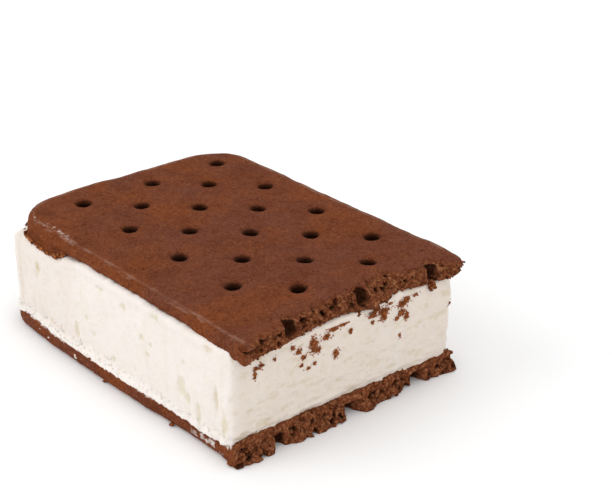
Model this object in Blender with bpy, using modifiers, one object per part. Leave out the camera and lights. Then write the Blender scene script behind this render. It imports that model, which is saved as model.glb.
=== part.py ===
"""Half of an ice cream sandwich that was snapped across its width: a block of vanilla ice cream
between two chocolate wafers. Three solids, in metres, +Z up. The origin is on the surface that it
lies on, under the middle of its box. +X runs along its length to the broken end, +Y across it.
"""

import math

import bmesh
import bpy
import numpy as np

# Wafers: both are stamped by one die
WAFER_WIDTH = 0.0484
WAFER_THICKNESS = 0.0030
WAFER_EDGE_ROUND = 0.0009
WAFER_SIDE_SHIFT = 0.0003         # the top wafer sits this far to +Y, and the bottom one to -Y
TOP_CORNER_RADIUS = 0.0095
BOTTOM_CORNER_RADIUS = 0.0065
TOP_END_X = -0.0315               # the whole end of each wafer, where it meets its corners
BOTTOM_END_X = -0.0345
TOP_CROWN = 0.0003                # the top wafer's middle stands this much above its sides
END_BOW = 0.0012                  # the whole end is bowed out by this much in its middle

# Docking holes: rows of three and rows of two by turns, so that they lie in a diamond pattern
HOLE_RADIUS = 0.0013
HOLE_SIDES = 10
HOLE_SPACING = 0.0150             # between neighbours in one row, across the width
ROW_PITCH = 0.00729               # from row to row, along the length
ROW_COUNT = 9                     # the ninth row lies on the break
TOP_FIRST_ROW = (-0.0258, 0.0029)       # middle of the first row, x and y
BOTTOM_FIRST_ROW = (-0.0262, -0.0001)

# Ice cream block
ICE_LOW = (-0.0313, -0.0244)      # x and y
ICE_HIGH = (0.0333, 0.0234)
ICE_CORNER_RADIUS = 0.0032
ICE_RIM_ROUND = 0.0006
ICE_BULGE = 0.00015               # its sides stand out by this much at half its height
ICE_SKIRT = 0.0003                # its whole end leans out by this much towards the top

# Heights
GAP = 0.0003                      # left free between the solids
BLOCK_HEIGHT = 0.0151             # between the two wafers
ICE_BOTTOM = WAFER_THICKNESS + GAP
ICE_TOP = WAFER_THICKNESS + BLOCK_HEIGHT - GAP
TOP_WAFER_TOP = 2 * WAFER_THICKNESS + BLOCK_HEIGHT

# Break: how far each wafer's torn edge stands past the break line, at even steps from -Y to +Y
BREAK_X = 0.0342
TOP_BREAK = [0.0014, 0.0011, 0.0004, -0.0001, -0.0014, -0.0006, -0.0009, -0.0009, -0.0009,
             -0.0015, -0.0001, 0.0000, -0.0003, -0.0014, -0.0001, -0.0002, -0.0014]
BOTTOM_BREAK = [0.0001, 0.0007, 0.0001, -0.0017, -0.0005, 0.0003, 0.0002, -0.0003, -0.0019,
                0.0000, 0.0002, -0.0003, -0.0013, -0.0019, -0.0005, -0.0003, -0.0003]
BREAK_STEPS = 48
BREAK_RIPPLE = 0.00025            # saw-tooth of the torn edge, and how far its face leans
SAW_LENGTH = 0.00052              # its fine wave and the slower one that swells it, per radian
SWELL_LENGTH = 0.00181
LEAN_LENGTH = 0.0023              # the torn face's lean along the break, per radian
LEAN_TURN = 2.4                   # and how many radians it shifts from half height to the rim
BREAK_DEPTH = 0.012               # the cutter reaches this far beyond the break
CUTTER_CLEARANCE = 0.002

WAFER_CELLS = (26, 18)            # along the length and across the width
CORNER_CELLS = 4


def clear_scene():
    """Removes whatever the scene holds."""
    for old in list(bpy.data.objects):
        bpy.data.objects.remove(old)


def new_collection(name):
    """A collection of that name in the scene."""
    made = bpy.data.collections.new(name)
    bpy.context.scene.collection.children.link(made)
    return made


def file_under(obj, collection):
    """Moves the object into that collection alone."""
    for old in list(obj.users_collection):
        old.objects.unlink(obj)
    collection.objects.link(obj)


def food_material(name, colour, roughness):
    """A Principled BSDF of one colour."""
    made = bpy.data.materials.new(name)
    made.use_nodes = True
    shader = made.node_tree.nodes["Principled BSDF"]
    shader.inputs["Base Color"].default_value = (*colour, 1.0)
    shader.inputs["Roughness"].default_value = roughness
    shader.inputs["Metallic"].default_value = 0.0
    return made


def grid_object(name, cells_x, cells_y):
    """A flat grid object from -1 to 1 each way, and its points as an array."""
    bpy.ops.mesh.primitive_grid_add(x_subdivisions=cells_x, y_subdivisions=cells_y, size=2)
    made = bpy.context.object
    made.name = name
    made.data.name = name
    points = np.empty(len(made.data.vertices) * 3, np.float32)
    made.data.vertices.foreach_get("co", points)
    return made, points.reshape(-1, 3).astype(float)


def set_points(obj, points):
    """Puts the array of points back into the object's mesh."""
    obj.data.vertices.foreach_set("co", points.astype(np.float32).ravel())
    obj.data.update()


def spread(share, cells, low, high, zone):
    """Turns an even share from -1 to 1 into a length from low to high, with CORNER_CELLS of the
    cells in the zone at each end."""
    knots = [-1, -1 + 2 * CORNER_CELLS / cells, 1 - 2 * CORNER_CELLS / cells, 1]
    return np.interp(share, knots, [low, low + zone, high - zone, high])


def round_corner(along, across, centre_x, centre_y, radius):
    """Draws the square zone beyond a corner's centre into a quarter disc, by the elliptical rule
    a' = a * sqrt(1 - b * b / 2), so that its outer sides become the corner's arc."""
    a = np.clip((centre_x - along) / radius, 0, 1)
    b = np.clip((np.abs(across) - centre_y) / radius, 0, 1)
    inside = (a > 0) & (b > 0)
    new_along = centre_x - radius * a * np.sqrt(1 - b * b / 2)
    new_across = np.sign(across) * (centre_y + radius * b * np.sqrt(1 - a * a / 2))
    return np.where(inside, new_along, along), np.where(inside, new_across, across)


def wafer_blank(name, end_x, side_shift, radius, crown, top_z):
    """A wafer with its whole rounded end, running on past the break: a grid with rounded corners,
    thickened downwards, its rim rounded by a bevel."""
    obj, points = grid_object(name, *WAFER_CELLS)
    far_x = BREAK_X + BREAK_DEPTH / 2
    half_width = WAFER_WIDTH / 2
    x = spread(points[:, 0], WAFER_CELLS[0], end_x, far_x, radius)
    y = spread(points[:, 1], WAFER_CELLS[1], -half_width, half_width, radius)
    x, y = round_corner(x, y, end_x + radius, half_width - radius, radius)
    middle = 1 - (y / half_width) ** 2
    towards_end = np.clip((end_x + radius - x) / radius, 0, 1)
    x = x - END_BOW * middle * towards_end
    z = top_z + crown * middle
    set_points(obj, np.column_stack([x, y + side_shift, z]))

    thicken = obj.modifiers.new("thickness", "SOLIDIFY")
    thicken.thickness = WAFER_THICKNESS
    thicken.offset = -1
    rim = obj.modifiers.new("rounded_rim", "BEVEL")
    rim.width = WAFER_EDGE_ROUND
    rim.segments = 2
    rim.limit_method = "ANGLE"
    rim.angle_limit = math.radians(60)
    return obj


def torn_line(offsets, across):
    """How far the break stands past BREAK_X at each place across the width: the listed offsets
    joined by a smooth curve, with a small saw-tooth on top."""
    stations = np.linspace(-WAFER_WIDTH / 2, WAFER_WIDTH / 2, len(offsets))
    lower = np.clip(np.searchsorted(stations, across) - 1, 0, len(offsets) - 2)
    part = np.clip((across - stations[lower]) / (stations[1] - stations[0]), 0, 1)
    eased = part * part * (3 - 2 * part)
    low, high = np.take(offsets, lower), np.take(offsets, lower + 1)
    saw = np.sin(across / SAW_LENGTH) * np.cos(across / SWELL_LENGTH)
    return low + (high - low) * eased + BREAK_RIPPLE * saw


def break_cutter(name, offsets, side_shift, low_z, high_z):
    """The half that was snapped off, as a block whose near face is the torn surface."""
    obj, points = grid_object(name, BREAK_STEPS, 3)
    across = points[:, 0] * (WAFER_WIDTH / 2 + CUTTER_CLEARANCE)
    up = points[:, 1]
    lean = BREAK_RIPPLE * np.sin(across / LEAN_LENGTH + LEAN_TURN * up)
    x = BREAK_X + torn_line(offsets, across) + lean
    z = (low_z + high_z) / 2 + up * ((high_z - low_z) / 2 + CUTTER_CLEARANCE)
    set_points(obj, np.column_stack([x, across + side_shift, z]))
    slab = obj.modifiers.new("depth", "SOLIDIFY")
    slab.thickness = BREAK_DEPTH
    slab.offset = 1
    return obj


def hole_cutters(name, first_row, low_z, high_z):
    """All of one wafer's docking holes as upright cylinders: three in the first row, two in the
    next, and so on, each longer than the wafer is thick."""
    mesh = bpy.data.meshes.new(name)
    shape = bmesh.new()
    height = high_z - low_z + 2 * CUTTER_CLEARANCE
    for row in range(ROW_COUNT):
        in_row = 3 - row % 2
        for place in range(in_row):
            x = first_row[0] + row * ROW_PITCH
            y = first_row[1] + (place - (in_row - 1) / 2) * HOLE_SPACING
            made = bmesh.ops.create_cone(shape, cap_ends=True, segments=HOLE_SIDES,
                                         radius1=HOLE_RADIUS, radius2=HOLE_RADIUS, depth=height)
            bmesh.ops.translate(shape, verts=made["verts"], vec=(x, y, (low_z + high_z) / 2))
    shape.to_mesh(mesh)
    shape.free()
    obj = bpy.data.objects.new(name, mesh)
    bpy.context.scene.collection.objects.link(obj)
    return obj


def cut(obj, cutter, collection):
    """Cuts the cutter's shape out of the object, and keeps the cutter as a hidden guide."""
    step = obj.modifiers.new(cutter.name, "BOOLEAN")
    step.operation = "DIFFERENCE"
    step.solver = "EXACT"
    step.object = cutter
    cutter.hide_render = True
    cutter.display_type = "WIRE"
    file_under(cutter, collection)


def soften(obj):
    """Shades the round stretches smooth and leaves the torn edges sharp."""
    obj.data.shade_smooth()
    obj.data.set_sharp_from_angle(angle=math.radians(40))


def make_wafer(name, end_x, side_shift, radius, crown, top_z, offsets, first_row, looks, groups):
    """One wafer: the blank, with the snapped-off half and the docking holes cut away."""
    sandwich, cutters = groups
    wafer = wafer_blank(name, end_x, side_shift, radius, crown, top_z)
    low_z, high_z = top_z - WAFER_THICKNESS, top_z + crown
    cut(wafer, break_cutter(name + "_break", offsets, side_shift, low_z, high_z), cutters)
    cut(wafer, hole_cutters(name + "_holes", first_row, low_z, high_z), cutters)
    soften(wafer)
    wafer.data.materials.append(looks)
    file_under(wafer, sandwich)


def make_ice_cream(looks, sandwich):
    """The ice cream: a box with rounded upright corners and rims, then bulged a little at half
    its height and leaning out at its whole end."""
    low, high = np.array([*ICE_LOW, ICE_BOTTOM]), np.array([*ICE_HIGH, ICE_TOP])
    bpy.ops.mesh.primitive_cube_add(size=1, location=(low + high) / 2)
    block = bpy.context.object
    block.name = "ice_cream"
    block.data.name = "ice_cream"
    block.data.transform(block.matrix_world)
    block.matrix_world.identity()

    shape = bmesh.new()
    shape.from_mesh(block.data)
    middle = (low + high) / 2
    for vertex in shape.verts:
        for axis in range(3):
            vertex.co[axis] = high[axis] if vertex.co[axis] > middle[axis] else low[axis]
    upright = [e for e in shape.edges if abs(e.verts[0].co.z - e.verts[1].co.z) > BLOCK_HEIGHT / 2]
    bmesh.ops.bevel(shape, geom=upright, offset=ICE_CORNER_RADIUS, offset_type="OFFSET",
                    segments=6, profile=0.5, affect="EDGES")
    rims = [e for e in shape.edges if abs(e.verts[0].co.z - e.verts[1].co.z) < ICE_RIM_ROUND / 2]
    bmesh.ops.bevel(shape, geom=rims, offset=ICE_RIM_ROUND, offset_type="OFFSET",
                    segments=2, profile=0.5, affect="EDGES")
    tall = [e for e in shape.edges if abs(e.verts[0].co.z - e.verts[1].co.z) > BLOCK_HEIGHT / 2]
    bmesh.ops.subdivide_edges(shape, edges=tall, cuts=7, use_grid_fill=True)
    shape.to_mesh(block.data)
    shape.free()

    points = np.empty(len(block.data.vertices) * 3, np.float32)
    block.data.vertices.foreach_get("co", points)
    points = points.reshape(-1, 3).astype(float)
    height = np.clip((points[:, 2] - low[2]) / (high[2] - low[2]), 0, 1)
    bulge = ICE_BULGE * np.sin(math.pi * height)
    side = 2 * (points[:, 1] - middle[1]) / (high[1] - low[1])
    end = 2 * (points[:, 0] - middle[0]) / (high[0] - low[0])
    points[:, 1] += bulge * side
    points[:, 0] += bulge * end + ICE_SKIRT * (height - 0.5) * np.minimum(end, 0)
    set_points(block, points)
    soften(block)
    block.data.materials.append(looks)
    file_under(block, sandwich)


def main():
    """Builds the two wafers and the ice cream between them."""
    clear_scene()
    groups = (new_collection("ice_cream_sandwich"), new_collection("cutters"))
    wafer_looks = food_material("chocolate_wafer", (0.145, 0.052, 0.028), 0.8)
    ice_looks = food_material("vanilla_ice_cream", (0.87, 0.84, 0.78), 0.45)
    make_wafer("bottom_wafer", BOTTOM_END_X, -WAFER_SIDE_SHIFT, BOTTOM_CORNER_RADIUS, 0.0,
               WAFER_THICKNESS, BOTTOM_BREAK, BOTTOM_FIRST_ROW, wafer_looks, groups)
    make_ice_cream(ice_looks, groups[0])
    make_wafer("top_wafer", TOP_END_X, WAFER_SIDE_SHIFT, TOP_CORNER_RADIUS, TOP_CROWN,
               TOP_WAFER_TOP, TOP_BREAK, TOP_FIRST_ROW, wafer_looks, groups)


main()
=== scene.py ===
"""The looks of a snapped half of an ice cream sandwich: two baked chocolate wafers with docking
holes, and vanilla ice cream between them. Every shape is worked out in millimetres as whole
numpy arrays and is turned to metres when its mesh is made."""
import math
from types import SimpleNamespace

import bpy
import numpy as np
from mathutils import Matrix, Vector


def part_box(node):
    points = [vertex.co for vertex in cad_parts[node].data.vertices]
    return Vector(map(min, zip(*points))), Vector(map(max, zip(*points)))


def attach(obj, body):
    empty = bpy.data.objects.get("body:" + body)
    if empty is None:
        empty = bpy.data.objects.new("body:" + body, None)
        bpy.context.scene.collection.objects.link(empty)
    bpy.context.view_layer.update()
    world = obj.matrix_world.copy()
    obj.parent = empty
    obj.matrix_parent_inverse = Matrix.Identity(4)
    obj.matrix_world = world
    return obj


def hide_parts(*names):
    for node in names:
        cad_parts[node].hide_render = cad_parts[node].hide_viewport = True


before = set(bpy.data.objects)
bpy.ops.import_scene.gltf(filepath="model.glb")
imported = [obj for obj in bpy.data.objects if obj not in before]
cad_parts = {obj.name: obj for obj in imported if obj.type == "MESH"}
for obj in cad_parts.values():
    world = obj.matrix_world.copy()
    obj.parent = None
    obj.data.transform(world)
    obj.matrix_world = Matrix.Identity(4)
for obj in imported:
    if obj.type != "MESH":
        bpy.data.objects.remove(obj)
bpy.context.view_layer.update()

MM = 0.001

# The sandwich's own sizes in millimetres; its outer sizes come from the frame
HOLE_SPACING = 15.0
ROW_PITCH = 7.29
WHOLE_ROWS = 8
HOLE_RADIUS = 1.3
BREAK_X = 34.2
WAFER_THICKNESS = 3.0


def box_mm(node):
    """A CAD node's lowest and highest corners in millimetres."""
    low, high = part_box(node)
    return np.array(low) / MM, np.array(high) / MM


def join(x, y, z):
    """One array of points from arrays, or plain numbers, of their x, y and z."""
    return np.stack(np.broadcast_arrays(x, y, z), axis=-1)


# ------------ noise

def random_at(cells, seed):
    """A repeatable random number from 0 to 1 for each whole-number cell: its numbers are multiplied
    by large odd ones and added, and the bits are stirred twice."""
    c = cells.astype(np.int64)
    h = c[..., 0] * 374761393 + c[..., 1] * 668265263 + c[..., 2] * 1440662683 + seed * 974634777
    h = h & 0xFFFFFFFF
    h = ((h ^ (h >> 15)) * 2246822519) & 0xFFFFFFFF
    h = ((h ^ (h >> 13)) * 3266489917) & 0xFFFFFFFF
    return ((h ^ (h >> 16)) & 0xFFFFFF) / 0xFFFFFF


def value_noise(points, size, seed):
    """Smooth noise from -1 to 1: random numbers at the corners of cubes of that size (one number,
    or one for each axis), blended along each axis by t*t*t*(6*t*t - 15*t + 10)."""
    p = points / np.asarray(size, float)
    cell = np.floor(p)
    t = p - cell
    t = t * t * t * (t * (6 * t - 15) + 10)
    total = 0.0
    for corner in np.ndindex(2, 2, 2):
        weight = np.prod(np.where(corner, t, 1 - t), axis=-1)
        total = total + weight * random_at(cell + corner, seed)
    return 2 * total - 1


def fractal(points, size, seed, octaves=4, falloff=0.5):
    """A sum of value noises, each half the size and falloff times the height of the last, divided
    by their whole height."""
    size = np.asarray(size, float)
    total, height, whole = 0.0, 1.0, 0.0
    for octave in range(octaves):
        total = total + height * value_noise(points, size / 2 ** octave, seed + octave)
        whole += height
        height *= falloff
    return total / whole


def cell_noise(points, size, seed):
    """Distance to the nearest of the points strewn one to a cube of that size, as a share of the
    size, and that point's own random number."""
    p = points / np.asarray(size, float)
    home = np.floor(p)
    nearest = np.full(p.shape[:-1], 9.0)
    number = np.zeros(p.shape[:-1])
    for step in np.ndindex(3, 3, 3):
        cell = home + np.array(step) - 1
        spot = cell + np.stack([random_at(cell, seed + k) for k in range(3)], axis=-1)
        away = np.linalg.norm(p - spot, axis=-1)
        closer = away < nearest
        nearest = np.where(closer, away, nearest)
        number = np.where(closer, random_at(cell, seed + 3), number)
    return nearest, number


def ramp(low, high, value):
    """0 below low, 1 above high, and smooth between them: 3*t*t - 2*t*t*t."""
    t = np.clip((value - low) / (high - low), 0, 1)
    return t * t * (3 - 2 * t)


# ------------ meshes

def make_mesh(name, points, face_sets, material, values, flip=False):
    """A piece of closed surface. points are in millimetres. Each face set is an array with one
    row for each face. values holds a number for each point under a name that materials read."""
    used = np.zeros(len(points), bool)
    for faces in face_sets:
        used[faces.ravel()] = True
    new_number = np.cumsum(used) - 1
    mesh = bpy.data.meshes.new(name)
    sets = [new_number[f[:, ::-1] if flip else f] for f in face_sets]
    counts = np.concatenate([np.full(len(f), f.shape[1]) for f in sets])
    corners = np.concatenate([f.ravel() for f in sets])
    mesh.vertices.add(int(used.sum()))
    mesh.vertices.foreach_set("co", (points[used] * MM).astype(np.float32).ravel())
    mesh.loops.add(len(corners))
    mesh.loops.foreach_set("vertex_index", corners.astype(np.int32))
    mesh.polygons.add(len(counts))
    starts = np.concatenate([[0], np.cumsum(counts)[:-1]])
    mesh.polygons.foreach_set("loop_start", starts.astype(np.int32))
    mesh.polygons.foreach_set("use_smooth", np.ones(len(counts), bool))
    mesh.update(calc_edges=True)
    mesh.validate()
    for key, numbers in values.items():
        layer = mesh.attributes.new(key, "FLOAT", "POINT")
        layer.data.foreach_set("value", np.asarray(numbers)[used].astype(np.float32))
    mesh.materials.append(material)
    obj = bpy.data.objects.new(name, mesh)
    bpy.context.scene.collection.objects.link(obj)
    return obj


def band_faces(first, columns, rows):
    """Quads of a closed band whose points are numbered from first, row by row."""
    r = np.arange(rows - 1)[:, None]
    here = np.arange(columns)
    there = (here + 1) % columns
    quads = [r * columns + here, r * columns + there,
             (r + 1) * columns + there, (r + 1) * columns + here]
    return first + np.stack(quads, axis=-1).reshape(-1, 4)


def along(line, values, count, closed=False):
    """The values at evenly spaced places along a line of points, measured by its own length."""
    length = np.concatenate([[0], np.cumsum(np.linalg.norm(np.diff(line, axis=0), axis=1))])
    even = np.linspace(0, length[-1], count, endpoint=not closed)
    return np.stack([np.interp(even, length, column) for column in np.transpose(values)], axis=1)


# ------------ wafers

CELLS_PER_ROW = 24                # grid cells from one row of holes to the next
CELLS_PER_HALF_SPACING = 45       # and across half a hole spacing
RING_X, RING_Y = 4, 7             # a hole's ring stands this many cells from its middle
ZONE = 3                          # the grid parts round a hole out to ZONE times its ring
SIDE_ROWS = 25                    # rows of the band that goes round a wafer's edge
WELL_ROWS = 6
CELL_X = ROW_PITCH / CELLS_PER_ROW
CELL_Y = HOLE_SPACING / 2 / CELLS_PER_HALF_SPACING
ZONE_X = ZONE * RING_X * CELL_X
ZONE_Y = ZONE * RING_Y * CELL_Y
MOST_SWELL = 0.3                  # the top wafer's face stands at most this much over its box
BREAK_BLEND = 8                   # the last millimetres of the sides, which lean after the break

# Profiles of the edge from the outer face to the face on the ice cream: (out, up) in millimetres
TOP_SIDE = [
    (0, 0), (0.3, -0.05), (0.56, -0.22), (0.8, -0.7), (1.0, -1.4), (1.12, -2.0), (1.1, -2.5),
    (0.8, -2.9), (0.1, -3.02), (-1.2, -3.02)]
BOTTOM_SIDE = [
    (0, 0), (0.45, -0.1), (0.8, -0.4), (1.0, -0.9), (1.05, -1.5), (0.98, -2.1), (0.8, -2.7),
    (0.3, -2.98), (-1.2, -3.02)]
TOP_TORN = [(0, 0), (0, -2.95), (-1.2, -3.02)]
BOTTOM_TORN = [(0, 0), (0, -2.9), (-0.3, -3.45), (-0.8, -3.8), (-1.5, -3.7), (-2.4, -3.02)]


def joined_steps(across, values, half_width):
    """Values at even steps from one side to the other, joined by smooth steps."""
    place = np.clip((across / half_width + 1) / 2, 0, 0.9999) * (len(values) - 1)
    lower = place.astype(int)
    part = ramp(0, 1, place - lower)
    return np.take(values, lower) * (1 - part) + np.take(values, lower + 1) * part


def torn_relief(across, depth, seed):
    """Relief of torn crumb in millimetres, and how deep its pores are from 0 to 1, which is painted as
    shade in them: broad lumps, round grains of 0.8 mm, and steep-sided pores in some of the cells of 1.1
    and of 0.55 mm."""
    spot = join(across, depth, 0)
    lumps = fractal(spot, 2.0, seed, 3)
    away, _ = cell_noise(spot, (0.8, 0.7, 1), seed + 10)
    grains = 0.5 - np.minimum(away, 1) ** 2
    hollow, number = cell_noise(spot, (1.3, 1.0, 1), seed + 20)
    large = ramp(0, 0.2, 0.24 + 0.32 * number - hollow) * (number > 0.3)
    hollow, number = cell_noise(spot, (0.6, 0.5, 1), seed + 25)
    small = ramp(0, 0.3, 0.2 + 0.3 * number - hollow) * (number > 0.3)
    return 0.5 * lumps + 0.35 * grains - 1.0 * large - 0.35 * small, np.maximum(large, 0.75 * small)


def torn_face(across, spec):
    """How far along x the torn face stands, and the depth of its pores, which is painted as shade, for
    each grid line across the wafer and each of SIDE_ROWS depths. It goes from the line where the skin
    broke to the line where the inner face broke, with relief and fine jags on top."""
    y, depth = np.meshgrid(across, np.linspace(0, 1, SIDE_ROWS), indexing="ij")
    from_middle = across - spec.middle_y
    skin = joined_steps(from_middle, spec.skin_break, spec.half_width)[:, None]
    foot = joined_steps(from_middle, spec.foot_break, spec.half_width)[:, None]
    relief, cavity_shades = torn_relief(y, depth * WAFER_THICKNESS, spec.seed)
    dense = ramp(spec.dense_from, 1.0, depth)
    slanted = join(y, 2 * depth, 0)
    jags = 0.22 * fractal(slanted, 1.5, spec.seed + 40, 4, 0.7)
    tear = skin + (foot - skin) * ramp(0.0, 0.8, depth) + (jags + relief) * (1 - 0.7 * dense)
    tear = tear - spec.crack * ramp(19.5, 23, y) * crack_depth(depth)
    cavity_shades = cavity_shades * (1 - 0.7 * dense)
    for hole in spec.half_holes:
        tear, cavity_shades = open_half_hole(tear, cavity_shades, y, depth, hole, spec.hole_depth)
    return tear, cavity_shades


def open_half_hole(tear, cavity_shades, y, depth, hole, hole_depth):
    """Opens a half hole into the torn face. The crumb beside it is drawn to just past the hole's
    middle, and its round wall stands the square root of radius*radius - gap*gap behind the
    middle. The radius shrinks on the way down and closes at hole_depth."""
    hole_x, hole_y, whole_radius = hole
    radius = whole_radius * (1 - 0.15 * depth) * np.sqrt(np.clip((hole_depth - depth) / 0.15, 0, 1))
    gap = np.abs(y - hole_y)
    beside = np.exp(-(np.maximum(gap - radius, 0) / 0.6) ** 2) * (radius > 0.3)
    tear = tear + 0.75 * beside * (hole_x + 0.4 - tear)
    wall = hole_x - np.sqrt(np.maximum(radius ** 2 - gap ** 2, 0))
    open_here = (gap < radius) & (wall < tear)
    tear = np.where(open_here, wall, tear)
    # The half hole's wall gets painted shade of 0.75, and the crumb beside it gets less.
    return tear, np.where(open_here, 0.75, cavity_shades * (1 - 0.8 * beside))


def crack_depth(depth):
    """How open the crack at the bottom wafer's far corner is at each depth, from 0 to 1."""
    return np.exp(-((depth - 0.6) / 0.13) ** 2)


def grid_lines(low, start, stop, high, cell):
    """Lines a cell apart from start to stop, and stretched beyond them to reach low and high. Also
    how many cells come before start."""
    before = round((start - low) / cell)
    return np.concatenate([
        np.linspace(low, start, before, endpoint=False),
        np.linspace(start, stop, round((stop - start) / cell), endpoint=False),
        np.linspace(stop, high, round((high - stop) / cell) + 1)]), before


def wafer_lines(end, low_side, high_side, first_row):
    """Grid lines along x and y, even from the first holes' zones to the last ones', with each
    hole's middle on a crossing."""
    start_x = first_row[0] - ZONE_X
    stop_x = first_row[0] + (WHOLE_ROWS - 1) * ROW_PITCH + ZONE_X
    start_y = first_row[1] - HOLE_SPACING - ZONE_Y
    stop_y = first_row[1] + HOLE_SPACING + ZONE_Y
    line_x, before_x = grid_lines(end, start_x, stop_x, BREAK_X, CELL_X)
    line_y, before_y = grid_lines(low_side, start_y, stop_y, high_side, CELL_Y)
    return line_x, line_y, before_x, before_y, stop_x


def part_round_holes(x, y, first_row):
    """Draws the grid round each whole hole. The distance from the hole's middle, measured as in a
    square, sets a share from 0 at the ring to 1 at the rim of the zone, and the point's true
    distance goes from HOLE_RADIUS to the square's by that share. Also the distance in squares,
    and the gap to the hole."""
    row = np.clip(np.round((x - first_row[0]) / ROW_PITCH), 0, WHOLE_ROWS - 1)
    in_row = 3 - row % 2
    place = np.clip(np.round((y - first_row[1]) / HOLE_SPACING + (in_row - 1) / 2), 0, in_row - 1)
    hole_x = first_row[0] + row * ROW_PITCH
    hole_y = first_row[1] + (place - (in_row - 1) / 2) * HOLE_SPACING
    dx, dy = x - hole_x, y - hole_y
    square = np.maximum(np.abs(dx) / (RING_X * CELL_X), np.abs(dy) / (RING_Y * CELL_Y))
    far = np.maximum(np.hypot(dx, dy), 1e-9)
    share = np.clip((square - 1) / (ZONE - 1), 0, 1)
    new_far = (1 - share) * HOLE_RADIUS + share * far * ZONE / np.maximum(square, 1e-9)
    in_zone = square < ZONE - 1e-6
    x = np.where(in_zone, hole_x + dx / far * new_far, x)
    y = np.where(in_zone, hole_y + dy / far * new_far, y)
    gap = np.where(in_zone, np.maximum(new_far, HOLE_RADIUS), 9.0) - HOLE_RADIUS
    return x, y, square, gap


def round_corners(x, y, end, low, high, radius, bow):
    """Draws the square corners at the whole end into quarter discs by a' = a*sqrt(1 - b*b/2), and
    bows the end out by that much at its middle."""
    a = np.clip((end + radius - x) / radius, 0, 1)
    for sign, side in ((-1, low), (1, high)):
        b = np.clip(sign * (y - (side - sign * radius)) / radius, 0, 1)
        inside = (a > 0) & (b > 0)
        new_x = end + radius - radius * a * np.sqrt(1 - b * b / 2)
        new_y = side - sign * radius + sign * radius * b * np.sqrt(1 - a * a / 2)
        x, y = np.where(inside, new_x, x), np.where(inside, new_y, y)
    middle = (low + high) / 2
    share = 1 - ((y - middle) / ((high - low) / 2)) ** 2
    return x - bow * a * share, y


def outer_face_height(x, y, tear, hole_gap, spec):
    """Height of the outer face, how far its skin has chipped off along the break, where it is
    pricked, and the gap to its rim. It is crowned across its width, swells gently, dips into each
    hole, and rolls over at its rim."""
    flat = join(x, y, 50.0 * spec.side_up)
    seed = spec.seed
    crown = 0.3 * np.clip((spec.middle_y - y) / spec.half_width, 0, 1) ** 2
    swell = 0.34 * fractal(flat, (9, 7, 9), seed + 50, 2)
    swell = swell + 0.13 * fractal(flat, 3.4, seed + 55, 3)
    grain = 0.025 * fractal(flat, 0.8, seed + 60, 2)
    dip = 0.34 * np.exp(-(hole_gap / 0.42) ** 2) + 0.17 * np.exp(-(hole_gap / 1.7) ** 2)
    away, number = cell_noise(flat, (2.6, 2.6, 5), seed + 65)
    prick = ramp(0.11, 0.03, away) * (number > 0.55)
    rim_gap = np.minimum(np.minimum(y - y[:, :1], y[:, -1:] - y), x - x[:1, :])
    roll = 0.16 * np.exp(-np.maximum(rim_gap, 0) / 1.2)
    break_gap = tear[:, 0][None, :] - x
    chip = fractal(flat, 1.4, seed + 70, 3) + 0.65 - break_gap / 1.3
    chip = spec.chipped * ramp(0.1, 0.45, chip) * ramp(2.6, 1.8, break_gap)
    height = grain - dip - 0.16 * prick - roll - 0.5 * chip
    if spec.side_up < 0:
        return np.minimum(height, 0), chip, prick, rim_gap
    return np.minimum(height - crown + swell, MOST_SWELL), chip, prick, rim_gap


def rim_places(rim, whole_count, cross_count, middle_y):
    """For each point of the rim: whether it is torn, whether it is on the side towards -Y, the
    grid line whose tear it takes, and the level way out of the wafer."""
    number = np.arange(len(rim))
    torn = number > whole_count
    on_low_side = rim[:, 1] < middle_y
    past = np.maximum(number - whole_count, 0)
    torn_at = np.where(~torn & on_low_side, 0, cross_count - 1 - past)
    ahead = np.roll(rim, -1, axis=0) - np.roll(rim, 1, axis=0)
    out = np.stack([-ahead[:, 1], ahead[:, 0]], axis=1)
    out /= np.maximum(np.linalg.norm(out, axis=1, keepdims=True), 1e-9)
    out[torn] = (1, 0)
    out[0], out[whole_count] = (0, -1), (0, 1)
    return torn, on_low_side, torn_at, out


def at_depths(table, line, drop):
    """Reads a table of the torn face at each point's grid line and depth, between two rows."""
    depth_row = np.clip(-drop / WAFER_THICKNESS, 0, 0.9999) * (SIDE_ROWS - 1)
    lower = depth_row.astype(int)
    part = depth_row - lower
    line = np.broadcast_to(line, lower.shape)
    return table[line, lower] * (1 - part) + table[line, lower + 1] * part


def lip_moves(rim_x, on_low_side, torn, offset, depth, from_side, spec):
    """How far the lower lip towards -Y is lifted and pushed out, with a groove over it."""
    lifted = np.interp(rim_x, spec.lip_x, spec.lip_z) * on_low_side * ((offset > 0) | torn)
    lifted = lifted * ramp(0.35, 0.9, depth) * np.where(torn, np.exp(-from_side / 1.2), 1)
    pushed = np.interp(rim_x, spec.lip_x, spec.lip_out) * on_low_side * (offset > 0)
    groove = 0.5 * np.exp(-((depth - 0.66) / 0.06) ** 2)
    return lifted, pushed * (ramp(0.74, 0.84, depth) - groove)


def side_relief(spot, drop, seed):
    """Dents and upright wrinkles of a wafer's side, and the raggedness of its lower lip."""
    dents = 0.2 * fractal(spot, 6.0, seed + 80, 3)
    dents = dents + 0.1 * fractal(spot, (0.9, 0.9, 5), seed + 85, 2)
    dents = dents + 0.06 * fractal(spot, 0.8, seed + 87, 2)
    started = np.minimum(np.arange(SIDE_ROWS) / 4, 1)[:, None]
    along = fractal(spot * (1, 1, 0), 2.2, seed + 90, 4, 0.6)
    return dents * started, ramp(-1.6, -2.9, drop) * along


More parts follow.
